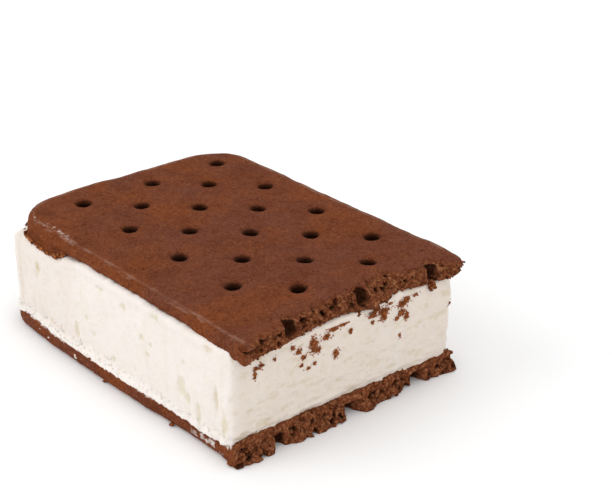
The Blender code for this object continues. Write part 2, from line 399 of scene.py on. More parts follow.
def edge_band(cap, path, whole_count, cross_count, tear, cavity_shades, spec):
    """Rows of points that carry the edge's profile round the rim, and the painted shade in their pores.
    The sides follow their profile outwards, with relief and a moved lip. The torn side stands where the
    torn face does at each depth, and fans out to meet the sides, whose last BREAK_BLEND millimetres lean
    after it."""
    rim = cap[path]
    torn, on_low_side, torn_at, out = rim_places(rim, whole_count, cross_count, spec.middle_y)
    side = along(spec.profile, spec.profile, SIDE_ROWS)
    tearing = along(spec.torn_profile, spec.torn_profile, SIDE_ROWS)
    offset = np.where(torn, tearing[:, :1], side[:, :1])
    drop = np.where(torn, tearing[:, 1:], side[:, 1:])
    depth = np.clip(-drop / WAFER_THICKNESS, 0, 1)
    spot = join(rim[:, 0], rim[:, 1], drop + 20 * spec.side_up)
    dents, ragged = side_relief(spot, drop, spec.seed)
    torn_shift = at_depths(tear, torn_at, drop) - tear[torn_at, 0] + tearing[:, :1]

    from_side = np.minimum(np.abs(rim[:, 1] - rim[0, 1]), np.abs(rim[:, 1] - rim[whole_count, 1]))
    point = side[:, :1].max() - side[:, :1]
    tipped = spec.tip * on_low_side * np.where(side[:, 1:] > -1.2, point, 0)
    fan = np.exp(-from_side / np.where(side[:, :1] > 0, 0.8, 1.6)) * (side[:, :1] + tipped)
    fan = fan * np.where(on_low_side, -1, 1)
    split = spec.crack * 0.5 * ramp(31.5, 34, rim[:, 0]) * crack_depth(depth) * ~on_low_side
    squared = 0.9 * ramp(29, 34, rim[:, 0]) * ~on_low_side * np.maximum(offset, 0)
    lifted, pushed = lip_moves(rim[:, 0], on_low_side, torn, offset, depth, from_side, spec)
    tipped = tipped * ramp(30, 34, rim[:, 0])
    whole_out = offset - squared + tipped + dents - split + pushed
    ledge = np.where(torn, np.minimum(drop + 3.02, 0) * np.exp(-from_side / 0.8), 0)

    near_break = np.clip(1 - (tear[torn_at, 0] - rim[:, 0]) / BREAK_BLEND, 0, 1)
    x = rim[:, 0] + np.where(torn, 1, near_break) * torn_shift + np.where(torn, 0, out[:, 0] * whole_out)
    y = rim[:, 1] + np.where(torn, fan, out[:, 1] * whole_out)
    z = rim[:, 2] * (1 - depth) + drop + np.where(torn, 0.2, 0.5) * ragged + lifted - ledge
    z[-1] = side[-1, 1]
    # Painted shade in the torn face's pores and half holes, read at each depth.
    cavity_shade = np.where(torn, at_depths(cavity_shades, torn_at, drop), 0)
    return join(x, y, z), cavity_shade, torn, drop, spot


def hole_wells(cap, grid, before_x, before_y, first_number, seed):
    """Walls and floors of the whole holes: the ring round each one, carried down in WELL_ROWS rows
    while it narrows and leans, and closed by a flat face."""
    row = np.repeat(np.arange(WHOLE_ROWS), 3 - np.arange(WHOLE_ROWS) % 2)
    place = np.concatenate([np.arange(3 - k % 2) - (2 - k % 2) / 2 for k in range(WHOLE_ROWS)])
    i = before_x + ZONE * RING_X + row * CELLS_PER_ROW
    j = before_y + ZONE * RING_Y + ((1 + place) * 2 * CELLS_PER_HALF_SPACING).astype(int)
    ring_i = np.concatenate([np.full(2 * RING_Y, RING_X), np.arange(RING_X, -RING_X, -1),
                             np.full(2 * RING_Y, -RING_X), np.arange(-RING_X, RING_X)])
    ring_j = np.concatenate([np.arange(-RING_Y, RING_Y), np.full(2 * RING_X, RING_Y),
                             np.arange(RING_Y, -RING_Y, -1), np.full(2 * RING_X, -RING_Y)])
    ring = grid[i[:, None] + ring_i, j[:, None] + ring_j]
    share = np.linspace(0, 1, WELL_ROWS)[None, 1:, None, None]
    wall = cap[ring][:, None] + 0 * share
    middle = cap[ring].mean(axis=1)[:, None, None, :2]
    wall[..., :2] = middle + (wall[..., :2] - middle) * (1 - 0.16 * np.sqrt(share)) + 0.25 * share
    wall[..., 2:] = wall[..., 2:] * (1 - share) + share * (0.25 - WAFER_THICKNESS)
    wall += 0.05 * value_noise(wall, 0.7, seed + 95)[..., None]
    number = first_number + np.arange(wall.size // 3).reshape(wall.shape[:-1])
    rings = np.concatenate([ring[:, None], number], axis=1)
    turned = np.roll(rings, -1, axis=2)
    sides = np.stack([rings[:, :-1], turned[:, :-1], turned[:, 1:], rings[:, 1:]], axis=-1)
    return wall, share[..., 0], sides.reshape(-1, 4), rings[:, -1]


def wafer_faces(grid, square, path):
    """Quads of the outer face outside its holes and of the band round it, and the flat face that
    closes the band."""
    quads = np.stack([grid[:-1, :-1], grid[1:, :-1], grid[1:, 1:], grid[:-1, 1:]], axis=-1)
    in_hole = square.ravel()[quads].max(axis=-1) < 1 + 1e-6
    below = grid.size + np.arange(len(path))
    first = np.stack([path, np.roll(path, -1), np.roll(below, -1), below], axis=1)
    rest = band_faces(grid.size, len(path), SIDE_ROWS - 1)
    inner_face = below[None] + (SIDE_ROWS - 2) * len(path)
    return [quads[~in_hole], first, rest, inner_face]


def cap_wear(x, y, rim_gap, hole_gap, chip, prick, spec):
    """What the material reads on the outer face: bare crumb, painted shade in the pricks and hole
    mouths, the rubbed line along the rim, which is partly wear and partly a painted sheen, and whitish
    flecks by the whole end."""
    spot = join(x, y, 0)
    seed = spec.seed
    rubbed_sheen = 0.35 + 0.65 * ramp(-0.2, 0.3, fractal(spot, 2.2, seed + 99, 3))
    fleck = ramp(0.12, 0.35, fractal(spot, 0.6, seed + 101, 3, 0.8))
    fleck = 0.55 * (fleck * ramp(1.4, 0.8, rim_gap))
    fleck = fleck * ramp(*spec.fleck_x, x) * ramp(-28.5, -26.5, x)
    return {
        "torn": chip,
        # Painted shade at the holes' mouths and in the pricks.
        "cavity_shade": np.maximum(0.55 * np.exp(-(hole_gap / 0.3) ** 2), 0.8 * prick),
        # A pale line along the rim: partly rubbed wear, partly a painted sheen on the rounded edge.
        "rubbed_sheen": rubbed_sheen * np.exp(-((rim_gap - 0.3) / 0.33) ** 2),
        "smear": fleck * (y < spec.middle_y - 19.5),
    }


def side_wear(spot, drop, torn, cavity_shade, spec):
    """The same on the band: crumb along the lip, painted shade in the torn face's pores, a rubbed
    shoulder that is partly wear and partly a painted sheen, and ice cream smeared on.
    """
    seed, x = spec.seed, spot[..., 0]
    # A pale line along the shoulder: partly rubbed wear, partly a painted sheen on the rounded edge.
    rubbed_sheen = ramp(-0.15, 0.35, fractal(spot, (2.2, 2.2, 0.5), seed + 97, 3))
    rubbed_sheen = rubbed_sheen * np.exp(-((drop + 0.05) / 0.2) ** 2)
    frosting = fractal(spot, (0.5, 0.5, 1.2), seed + 98, 3, 0.7)
    streaks = fractal(spot, (2.6, 2.6, 0.8), seed + 103, 4, 0.6)
    smear = ramp(*spec.smear_x, x) * ramp(34, 31, x)
    smear = smear * ramp(*spec.smear_drop, drop)
    smear = 0.7 * smear * ramp(-0.2, 0.5, streaks + 0.8 * frosting)
    smear = np.maximum(smear, ramp(-2.55, -3.0, drop - 0.6 * frosting) * spec.frosted)
    return {
        "torn": np.where(torn, 1.0, 0.8 * ramp(-2.3, -2.9, drop)),
        "cavity_shade": cavity_shade,
        "rubbed_sheen": np.where(torn, 0, rubbed_sheen),
        "smear": np.where(torn, 0, smear * (spot[..., 1] < spec.middle_y - 15)),
    }


def wafer(name, node, material, **spec):
    """One wafer as a closed surface: a grid that parts round the docking holes, a band that carries
    the edge's profile or the torn crumb round it, wells below the holes, and one flat inner face.
    It is worked out with the outer face up, and side_up of -1 turns it over. Gives back the band's
    points and which of its columns are torn."""
    spec = SimpleNamespace(**spec)
    low, high = box_mm(node)
    side_up = spec.side_up
    face_z = high[2] if side_up > 0 else low[2]
    inset = max(out for out, _ in spec.profile)
    end, low_side, high_side = low[0] + inset + spec.end_inset, low[1] + inset, high[1] - inset
    spec.middle_y, spec.half_width = (high[1] + low[1]) / 2, (high[1] - low[1]) / 2

    line_x, line_y, before_x, before_y, stop_x = wafer_lines(end, low_side, high_side, spec.first_row)
    flat_x, flat_y = np.meshgrid(line_x, line_y, indexing="ij")
    x, y, square, hole_gap = part_round_holes(flat_x, flat_y, spec.first_row)
    tear, cavity_shades = torn_face(line_y, spec)
    x = x + np.clip((flat_x - stop_x) / (BREAK_X - stop_x), 0, 1) * (tear[:, 0][None, :] - BREAK_X)
    x, y = round_corners(x, y, end, low_side, high_side, spec.corner, spec.bow)
    near_low = np.clip((line_y[before_y] - flat_y) / (line_y[before_y] - low_side), 0, 1)
    y = y - near_low * np.interp(x, spec.bulge_x, spec.bulge_out)
    height, chip, prick, rim_gap = outer_face_height(x, y, tear, hole_gap, spec)

    cap = join(x, y, height).reshape(-1, 3)
    grid = np.arange(x.size).reshape(x.shape)
    path = np.concatenate([grid[:0:-1, 0], grid[0, :-1], grid[:-1, -1], grid[-1, :0:-1]])
    whole_count = 2 * (len(line_x) - 1) + len(line_y) - 1
    band, cavity_shade, torn, drop, spot = edge_band(cap, path, whole_count, len(line_y), tear, cavity_shades, spec)
    wall_first = len(cap) + (SIDE_ROWS - 1) * len(path)
    wall, wall_depth, well_faces, floors = hole_wells(
        cap, grid, before_x, before_y, wall_first, spec.seed)

    points = np.concatenate([cap, band[1:].reshape(-1, 3), wall.reshape(-1, 3)])
    points[:, 2] = face_z + side_up * points[:, 2]
    down = wall_depth + 0 * wall[..., 0]
    # The hole wells get painted shade, darker the deeper they go.
    in_wells = {"torn": 0.3 + 0 * down, "cavity_shade": 0.7 + 0.3 * down, "rubbed_sheen": 0 * down, "smear": 0 * down}
    on_cap = cap_wear(x, y, rim_gap, hole_gap, chip, prick, spec)
    on_side = side_wear(spot, drop, torn, cavity_shade, spec)
    values = {key: np.concatenate([on_cap[key].ravel(), on_side[key][1:].ravel(), in_wells[key].ravel()])
              for key in on_cap}
    face_sets = [*wafer_faces(grid, square, path), well_faces, floors]
    made = make_mesh(name, points, face_sets, material, values, flip=side_up < 0)
    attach(made, "root")
    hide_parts(node)
    return band * (1, 1, side_up) + (0, 0, face_z), torn


# ------------ ice cream

ICE_COLUMNS = 900
ICE_BODY_ROWS = 66
# The block's rims: (out, share of the height, up)
TOP_RIM = [(-2.2, 1, 0), (-0.9, 1, 0), (-0.35, 1, -0.12), (-0.08, 1, -0.4), (0, 1, -0.8)]
FOOT_RIM = [(0.06, 0, 0.8), (0.12, 0, 0.4), (0.05, 0, 0.12), (-0.35, 0, 0), (-2.2, 0, 0)]
TOP_OVERLAP, FOOT_OVERLAP = 0.2, 0.25      # how far the flat ends reach into the wafers
ICE_CORNERS = (1.8, 2.6, 4.0, 3.0)         # radii of the front, left, back and right corners
SIDE_INSET = 0.5                           # the side towards +Y stands this far inside its box
# Along x, how far the ice cream's foot spreads over the bottom wafer's front-left shoulder
FOOT_X = (-30, -24, -18, -5, 5, 12, 16, 29, 32)
FOOT_SPREAD = (0.2, 0.4, 0.9, 1.05, 1.0, 0.7, 0.25, 0.3, 0.0)
# Buttery pits in the front-left face: (x, z, half width, half height)
PITS = [
    (14.3, 18.2, 1.3, 0.8), (27.7, 18.0, 1.0, 0.6), (-9.8, 6.1, 0.8, 1.6), (10.0, 12.8, 0.8, 0.6),
    (12.2, 12.4, 0.5, 0.6), (20.6, 9.0, 1.2, 2.2), (22.2, 7.2, 1.0, 1.4), (24.9, 5.6, 0.7, 2.2),
    (-22.0, 13.5, 0.6, 1.3), (4.6, 16.2, 1.2, 0.6), (-2.0, 17.0, 1.2, 0.5), (31.5, 6.0, 0.8, 2.6),
    (29.3, 10.0, 0.5, 2.2), (1.0, 5.0, 0.8, 0.8)]


def rounded_outline(low, high, radii, count):
    """Evenly spaced points round a rectangle with its own radius at each corner, and the way out at
    each. It goes clockwise from above: front (+x -y), left (-x -y), back (-x +y), right (+x +y)."""
    corners = [(high[0], low[1]), (low[0], low[1]), (low[0], high[1]), (high[0], high[1])]
    inward = [(-1, 1), (1, 1), (1, -1), (-1, -1)]
    start_turn = [0, -math.pi / 2, -math.pi, -1.5 * math.pi]
    places, outs = [], []
    for (cx, cy), (ix, iy), radius, begin in zip(corners, inward, radii, start_turn):
        turn = begin - np.linspace(0, math.pi / 2, 24)
        out = np.stack([np.cos(turn), np.sin(turn)], axis=1)
        places.append(np.array([cx + ix * radius, cy + iy * radius]) + radius * out)
        outs.append(out)
    places, outs = np.concatenate([*places, places[0][:1]]), np.concatenate([*outs, outs[0][:1]])
    place, out = along(places, places, count, True), along(places, outs, count, True)
    return place, out / np.linalg.norm(out, axis=1, keepdims=True)


def block_heights(x, y, front_left, torn, rows, seed):
    """Height of each point of the block, row by row, and how far the top has crept up over the
    wafer on each column. It creeps along the front-left and in places along the break, and is worn
    down at the left corner and under the top wafer's lip. The foot is ragged."""
    under_top, on_bottom = box_mm("top_wafer")[0][2], box_mm("bottom_wafer")[1][2]
    line = join(x, y, 0)
    creep = front_left * ramp(-13, -7, x) * (0.95 + 0.45 * fractal(line, 3.2, seed, 6, 0.8))
    creep = creep + torn * 0.5 * ramp(0.0, 0.5, fractal(line, 5.0, seed + 3, 3))
    top = under_top + TOP_OVERLAP + creep
    sag = 0.45 * fractal(line, 1.6, seed + 5, 5, 0.8) - 0.05
    bottom = on_bottom - FOOT_OVERLAP - front_left * sag
    out, share, lift = rows.T[:, :, None]
    between = (bottom + 0.8) + share * ((top - 0.8) - (bottom + 0.8))
    z = np.where(share == 1, top + lift, np.where(share == 0, bottom + lift, between))
    z[0], z[-1] = under_top + TOP_OVERLAP, on_bottom - FOOT_OVERLAP
    under_lip = 0.75 + 0.3 * fractal(line, 2.0, seed + 7, 3)
    worn = np.maximum(ramp(-27, -31.3, x) * ramp(-13, -20, y),
                      front_left * ramp(-13.5, -15.5, x) * under_lip)
    return z - 1.5 * worn * ramp(14, 17.5, z) * np.clip(1 + out / 2.2, 0, 1), creep


def moulded_relief(spot, front_left, torn, seed):
    """Relief and staining of the smooth sides: a softly uneven face, upright drag marks by the corners
    with painted shade in their hollows, small holes at random, and the listed pits with ragged outlines."""
    x, z = spot[..., 0], spot[..., 2]
    moulded = 1 - torn
    broad = 0.25 * fractal(spot, (12, 12, 9), seed + 10, 2)
    broad = broad + 0.16 * fractal(spot, 3.0, seed + 15, 3)
    fine = 0.05 * fractal(spot, 0.7, seed + 20, 2)
    near_corner = np.maximum(0.5 * ramp(-20, -28, x), ramp(24, 31.5, x)) * moulded
    drag = 0.55 * near_corner * fractal(spot, (1.3, 1.3, 16), seed + 25, 2)
    away, number = cell_noise(spot, (4.5, 4.5, 4.0), seed + 30)
    pit = ramp(0.2, 0.05, away) * (number > 0.6) * moulded * 0.6
    ragged = 0.9 * fractal(spot, (1.0, 1.0, 1.6), seed + 33, 4, 0.7)
    for pit_x, pit_z, wide, tall in PITS:
        far = np.hypot((x - pit_x) / wide, (z - pit_z) / tall) + ragged
        pit = np.maximum(pit, 0.8 * ramp(1.3, 0.2, far) * front_left)
    streak = fractal(spot, (1.8, 1.8, 12), seed + 60, 3)
    streak = 0.22 * ramp(0.05, 0.5, streak) * moulded
    # Gives back the relief, the pits' stains, the painted shade in the drag marks' hollows, and the
    # streaks.
    return broad + fine + drag - 0.35 * pit, pit, ramp(0.1, 0.5, -drag) * 0.6, streak


def torn_ripples(spot, torn, seed):
    """The torn side's level ripples, and its small pits from 0 to 1."""
    shift = 0.6 * fractal(spot, 5, seed + 35, 2)
    warped = spot + join(0, 0, shift)
    ripple = 0.6 * fractal(warped, (3, 3, 0.9), seed + 40, 4, 0.65)
    ripple = ripple + 0.5 * fractal(spot, (1.6, 1.6, 0.7), seed + 42, 3)
    away, number = cell_noise(spot, (1.7, 1.7, 1.0), seed + 45)
    return ripple, ramp(0.3, 0.06, away) * (number > 0.55) * torn


def ice_cream(material, seed=300):
    """The block of ice cream as a closed band with flat ends: a rounded box's outline, pushed out
    and in by relief. Its foot spreads over the wafer on the front-left and draws back on the torn
    side. Gives back its points and how far each column belongs to the torn side and the front-left."""
    low, high = box_mm("ice_cream")
    place, out = rounded_outline(low[:2], high[:2] - (0, SIDE_INSET), ICE_CORNERS, ICE_COLUMNS)
    x, y = place.T
    front_left = ramp(-0.6, -0.95, out[:, 1])
    torn = ramp(0.5, 0.95, out[:, 0])
    body = np.zeros((ICE_BODY_ROWS, 3))
    body[:, 1] = np.linspace(1, 0, ICE_BODY_ROWS + 2)[1:-1]
    rows = np.concatenate([TOP_RIM, body, FOOT_RIM])
    z, creep = block_heights(x, y, front_left, torn, rows, seed)
    spot = join(x, y, z)

    relief, pit, drag_shade, streak = moulded_relief(spot, front_left, torn, seed)
    ripple, dots = torn_ripples(spot, torn, seed)
    above = z - box_mm("bottom_wafer")[1][2]
    frosty = ramp(1.7, 0.2, above) * front_left
    foot = np.interp(x, FOOT_X, FOOT_SPREAD) + 0.25 * fractal(spot, 0.7, seed + 50, 3, 0.7)
    over_wafer = 0.3 * front_left * ramp(16.8, 18.6, z)
    over_wafer = over_wafer * ramp(-13, -9, x) * ramp(28, 22, x)
    belly = 0.12 * (1 - torn) * np.sin(math.pi * np.clip(above / 15, 0, 1))
    drawn_back = 0.7 * torn * ramp(2.2, 0.0, above)
    far_bulge = 0.45 * torn * ramp(14, 21, y) * np.exp(-((z - 14) / 1.6) ** 2)
    relief = relief - 0.18 * dots + frosty * foot + over_wafer + belly - drawn_back + far_bulge
    relief = relief + torn * (0.15 + 0.45 * ramp(13, 7, z)) * ripple
    offset = rows[:, :1] + np.where(rows[:, :1] > -0.5, relief, 0)
    band = join(x + out[:, 0] * offset, y + out[:, 1] * offset, z)

    # Painted shade in the torn side's ripple troughs and in the drag marks' hollows, added to the real
    # stains of the pits, dots and streaks.
    hollow_shade = ramp(0.05, 0.45, -ripple) * torn * 0.5 + drag_shade
    stain_and_shade = np.clip(pit + 0.45 * dots + hollow_shade + streak, 0, 1)
    values = {"stain_and_shade": stain_and_shade.ravel(), "torn": (torn + 0 * z).ravel(),
              "frosty": np.clip(frosty + 0.5 * creep, 0, 1).ravel()}
    faces = band_faces(0, ICE_COLUMNS, len(rows))
    lid = np.arange(ICE_COLUMNS)[::-1][None]
    base = (len(rows) - 1) * ICE_COLUMNS + np.arange(ICE_COLUMNS)[None]
    made = make_mesh("ice_cream_block", band.reshape(-1, 3), [faces, lid, base], material, values)
    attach(made, "root")
    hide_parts("ice_cream")
    return band, torn, front_left


# ------------ crumbs

STRETCH = 0.4                     # a grain is up to this share longer or shorter each way


def grain_shape():
    """A cube of 2 by 2 by 2 cells blown up to a ball: 26 points and 24 quads."""
    steps = np.stack(np.meshgrid(*[np.arange(3)] * 3, indexing="ij"), axis=-1).reshape(-1, 3)
    outer = np.abs(steps - 1).max(axis=1) == 1
    number = np.cumsum(outer) - 1
    faces = []
    for axis, side, a, b in np.ndindex(3, 2, 2, 2):
        loop = np.array([(a, b), (a + 1, b), (a + 1, b + 1), (a, b + 1)])
        loop = np.insert(loop, 0, 2 * side, axis=1)[::1 if side else -1]
        loop = np.roll(loop, axis, axis=1)
        faces.append(number[loop @ (9, 3, 1)])
    ball = (steps[outer] - 1).astype(float)
    return ball / np.linalg.norm(ball, axis=1, keepdims=True), np.array(faces)


def strew(name, centres, sizes, tones, slot, material, seed):
    """Grains joined in one mesh: each is the ball with its points moved in and out at random,
    stretched by up to STRETCH and turned at random. tones says how light each one is."""
    chance = np.random.default_rng(seed)
    ball, faces = grain_shape()
    count = len(centres)
    lumps = ball * chance.uniform(0.55, 1.3, (count, len(ball), 1))
    lumps = lumps * chance.uniform(1 - STRETCH, 1 + STRETCH, (count, 1, 3))
    turn, _ = np.linalg.qr(chance.normal(size=(count, 3, 3)))
    turn[:, :, 0] *= np.linalg.det(turn)[:, None]
    points = centres[:, None] + np.einsum("nij,nkj->nki", turn, lumps) * sizes[:, None, None]
    points[..., 2] = np.maximum(points[..., 2], 0)
    number = faces[None] + (np.arange(count) * len(ball))[:, None, None]
    values = {"tone": np.repeat(tones, len(ball))}
    made = make_mesh(name, points.reshape(-1, 3), [number.reshape(-1, 4)], material, values)
    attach(made, "root")


# Crumbs pressed into the torn ice cream: (y, z, half width, half height, grains)
STUCK_CRUMBS = [
    (-8.4, 15.6, 0.8, 1.3, 60), (-7.6, 14.4, 0.7, 0.5, 26), (-5.9, 16.1, 0.8, 0.5, 24),
    (-12.6, 16.4, 0.4, 0.5, 9), (-11.4, 15.4, 0.7, 0.5, 16), (-10.3, 14.0, 0.45, 0.4, 10),
    (-10.7, 12.7, 0.4, 0.2, 4), (-8.2, 12.2, 0.4, 0.2, 4), (-9.4, 11.7, 0.4, 0.2, 3),
    (-4.4, 17.1, 1.0, 0.4, 36), (-2.8, 17.4, 1.0, 0.35, 36), (-0.9, 15.5, 0.35, 0.6, 9),
    (-3.8, 12.4, 0.45, 0.8, 20), (4.0, 16.8, 1.0, 0.6, 40), (6.3, 16.5, 1.2, 0.7, 60),
    (6.4, 15.5, 0.6, 0.7, 24), (3.8, 15.4, 0.3, 0.3, 5), (7.9, 17.6, 0.5, 0.3, 8),
    (10.4, 16.6, 1.2, 0.5, 50), (11.5, 17.1, 0.7, 0.8, 36), (13.5, 17.3, 0.6, 0.3, 9),
    (10.3, 15.0, 0.9, 0.5, 30), (11.5, 14.1, 0.5, 0.7, 24), (9.3, 14.4, 0.6, 0.35, 9),
    (10.1, 10.8, 0.25, 0.5, 4), (21.5, 13.2, 0.3, 0.5, 5), (-20.1, 14.3, 0.3, 0.8, 9),
    (-19.8, 15.5, 0.5, 0.35, 8), (-18.9, 15.7, 0.35, 0.5, 7), (-16.2, 15.8, 0.15, 0.15, 2)]
CRUMB_SPREAD, CRUMB_DENSITY, FEWEST_GRAINS = 1.15, 2.9, 4      # heaps are made this much fuller
# Lumps of crumb at the wafers' edges: (x, y, z, half size, grains)
HUNG_CRUMBS = [
    (33.7, 16.9, 17.9, 0.8, 80), (34.0, 4.4, 18.0, 0.6, 50), (33.3, 1.0, 18.1, 0.5, 30),
    (-1.0, -25.35, 0.4, 0.25, 14), (17.8, -24.9, 0.4, 0.25, 12), (33.2, -24.8, 0.5, 0.4, 26)]
# Drops of ice cream on the bottom wafer's side: (x, z, size)
DROPS = [(-9.6, 1.5, 0.42), (-9.1, 1.3, 0.25), (-21.5, 1.9, 0.25), (-18.1, 1.7, 0.25), (-4.0, 1.0, 0.12)]
TOP_GRAINS, BOTTOM_GRAINS, LIP_GRAINS, FOOT_FLECKS = 700, 600, 450, 500
HALF_HOLE_REACH = 1.7             # no loose grains lie this near to a half hole's middle

# ------------ materials

def paint(code):
    """Linear colour with full alpha from an sRGB hex value."""
    parts = [int(code[k:k + 2], 16) / 255 for k in (1, 3, 5)]
    return (*[p / 12.92 if p <= 0.04045 else ((p + 0.055) / 1.055) ** 2.4 for p in parts], 1.0)


def add_node(tree, kind, inputs=None, output=0, **settings):
    """Adds a node and returns one of its outputs. settings are the node's own properties, and
    inputs gives each socket a value or the output that feeds it."""
    made = tree.nodes.new(kind)
    for key, value in settings.items():
        setattr(made, key, value)
    for key, value in (inputs or {}).items():
        if isinstance(value, bpy.types.NodeSocket):
            tree.links.new(value, made.inputs[key])
        else:
            made.inputs[key].default_value = value
    return made.outputs[output]


def new_material(name, roughness, specular):
    """A material, its node tree, its Principled shader with these settings, and Object coordinates."""
    made = bpy.data.materials.new(name)
    made.use_nodes = True
    tree = made.node_tree
    shader = tree.nodes["Principled BSDF"]
    shader.inputs["Roughness"].default_value = roughness
    shader.inputs["Specular IOR Level"].default_value = specular
    return made, tree, shader, add_node(tree, "ShaderNodeTexCoord", output="Object")


def layered(tree, place, colour, layers):
    """A colour with others laid over it in turn. A layer is (source, low, high, most, colour): its
    source is the size in millimetres of a noise's grains, or the name of a number that the mesh
    holds, and it covers from nothing to most of what is below as the source goes from low to high.
    A colour is a hex value or a node's output."""
    colour = paint(colour) if isinstance(colour, str) else colour
    for source, low, high, most, over in layers:
        over = paint(over) if isinstance(over, str) else over
        if isinstance(source, str):
            amount = add_node(tree, "ShaderNodeAttribute", output="Fac", attribute_name=source)
        else:
            amount = add_node(tree, "ShaderNodeTexNoise", {
                "Vector": place, "Scale": 1 / (source * MM), "Detail": 3.0, "Roughness": 0.6})
        cover = add_node(tree, "ShaderNodeMapRange", {
            "Value": amount, "From Min": low, "From Max": high, "To Max": most})
        colour = add_node(tree, "ShaderNodeMix", {0: cover, 6: colour, 7: over}, 2, data_type="RGBA")
    return colour


def roughened(tree, shader, place, grains, depth, strength):
    """Bumps the shader's surface by up to depth millimetres with noise of each of the sizes in
    grains, added up."""
    height = 0.0
    for size in grains:
        noise = add_node(tree, "ShaderNodeTexNoise", {
            "Vector": place, "Scale": 1 / (size * MM), "Detail": 3.0, "Roughness": 0.6})
        height = add_node(tree, "ShaderNodeMath", {0: noise, 1: height}, operation="ADD")
    normal = add_node(tree, "ShaderNodeBump", {
        "Height": height, "Distance": depth * MM, "Strength": strength})
    tree.links.new(normal, shader.inputs["Normal"])


def baked_cocoa_wafer():
    """Cocoa wafer, baked in a mould and torn by hand. Its skin is dry and matt, mottled in browns with a
    grain of 0.4 mm. The torn crumb is darker and redder, and its grain carries painted highlights and
    painted shade. Pores, pricks, hole mouths and wells get near-black painted shade. Rubbed rims are
    pale, partly from wear and partly as a painted sheen, and ice cream is smeared on in places."""
    made, tree, shader, place = new_material("baked_cocoa_wafer", 0.85, 0.04)
    skin = layered(tree, place, "#70402F", [
        (14, 0.38, 0.58, 1.0, "#7C4224"),
        (4, 0.45, 0.7, 0.8, "#64331F"),
        (1.2, 0.5, 0.72, 0.6, "#5C2C19"),
        (0.4, 0.52, 0.7, 0.5, "#9A5F3E"),
        (0.5, 0.5, 0.34, 0.6, "#4A2212")])
    # The crumb's light flecks are painted highlights of lit grains, and its dark flecks are painted
    # shade between them.
    crumb = layered(tree, place, "#764128", [
        (0.55, 0.48, 0.7, 0.8, "#B47C56"),
        (0.9, 0.5, 0.32, 0.85, "#421C0E")])
    colour = layered(tree, place, skin, [
        ("torn", 0.1, 0.8, 1.0, crumb),
        # The pale rim line: partly rubbed wear, partly a painted sheen.
        ("rubbed_sheen", 0.1, 1.0, 0.7, "#97705F"),
        ("smear", 0.2, 0.8, 0.85, "#EEE6E0"),
        # Near-black painted shade in the pores, pricks, hole mouths, half holes and wells.
        ("cavity_shade", 0.05, 0.85, 0.96, "#140602")])
    tree.links.new(colour, shader.inputs["Base Color"])
    roughened(tree, shader, place, (0.35, 1.3), 0.3, 1.0)
    return made


def vanilla_ice_cream():
    """Vanilla ice cream, extruded and frozen hard: warm white and a little translucent, so that light
    softens across it. It has buttery stains in its pits, painted shade in its ripple troughs and drag
    marks, a warmer tint painted on the torn side as its shade, and frost along its foot."""
    made, tree, shader, place = new_material("vanilla_ice_cream", 0.55, 0.2)
    colour = layered(tree, place, "#E5DCD5", [
        (6, 0.4, 0.7, 0.6, "#DFD5CC"),
        # The torn side's warmer tone is painted warm shade on the side turned from the key light.
        ("torn", 0.2, 1.0, 0.8, "#E2D5C9"),
        (1.1, 0.52, 0.72, 0.5, "#D8CBB6"),
        # Buttery stains, together with painted shade in the ripple troughs and drag marks.
        ("stain_and_shade", 0.1, 0.9, 0.85, "#CBBD98"),
        ("frosty", 0.0, 1.0, 0.6, "#F4EEE9")])
    tree.links.new(colour, shader.inputs["Base Color"])
    shader.inputs["Subsurface Weight"].default_value = 0.1
    shader.inputs["Subsurface Radius"].default_value = (1.0, 0.8, 0.6)
    shader.inputs["Subsurface Scale"].default_value = 0.4 * MM
    roughened(tree, shader, place, (0.7,), 0.25, 0.8)
    return made


def loose_cocoa_crumb():
    """Crumbs rubbed off the torn wafer: matt, and redder and lighter than its skin, because their
    thin edges let light through."""
    made, tree, shader, place = new_material("loose_cocoa_crumb", 0.85, 0.04)
    colour = layered(tree, place, "#552A18", [
        ("tone", 0.0, 1.0, 1.0, "#B06A3E"),
        (0.3, 0.5, 0.3, 0.6, "#45200F")])
    tree.links.new(colour, shader.inputs["Base Color"])
    roughened(tree, shader, place, (0.25,), 0.1, 0.8)
    return made


def frost():
    """Frozen flecks of ice cream and frost: near white, softly glossy and a little translucent."""
    made, tree, shader, place = new_material("frost", 0.4, 0.5)
    colour = layered(tree, place, "#F2ECE6", [("tone", 0.0, 1.0, 1.0, "#E6DCD2")])
    tree.links.new(colour, shader.inputs["Base Color"])
    shader.inputs["Subsurface Weight"].default_value = 0.3
    shader.inputs["Subsurface Scale"].default_value = 0.6 * MM
    return made


def pale_floor():
    """Matt white paper, which shows only a soft shadow."""
    made, _, shader, _ = new_material("pale_floor", 0.9, 0.1)
    shader.inputs["Base Color"].default_value = paint("#FCFCFC")
    return made


# ------------ build

# Where each wafer's skin and its inner face broke: x at even steps from -Y to +Y
TOP_SKIN = [
    36.0, 35.5, 35.0, 34.3, 33.8, 33.1, 32.3, 31.7, 32.3, 31.9, 31.0, 31.2, 32.6, 33.3, 33.2, 34.9,
    34.0]
TOP_FOOT = [
    35.6, 35.2, 35.0, 34.6, 34.0, 33.5, 33.0, 32.8, 33.3, 34.7, 34.0, 33.0, 32.6, 33.5, 34.1, 34.4,
    33.2]
BOTTOM_SKIN = [
    34.6, 35.2, 34.9, 34.3, 34.6, 34.9, 34.9, 34.9, 33.9, 35.0, 33.9, 34.0, 33.2, 34.4, 33.5, 34.0,
    34.3]
BOTTOM_FOOT = [
    33.6, 33.9, 34.0, 33.8, 33.8, 33.9, 33.9, 33.8, 33.8, 33.9, 33.6, 33.7, 33.5, 33.4, 33.4, 33.2,
    32.8]
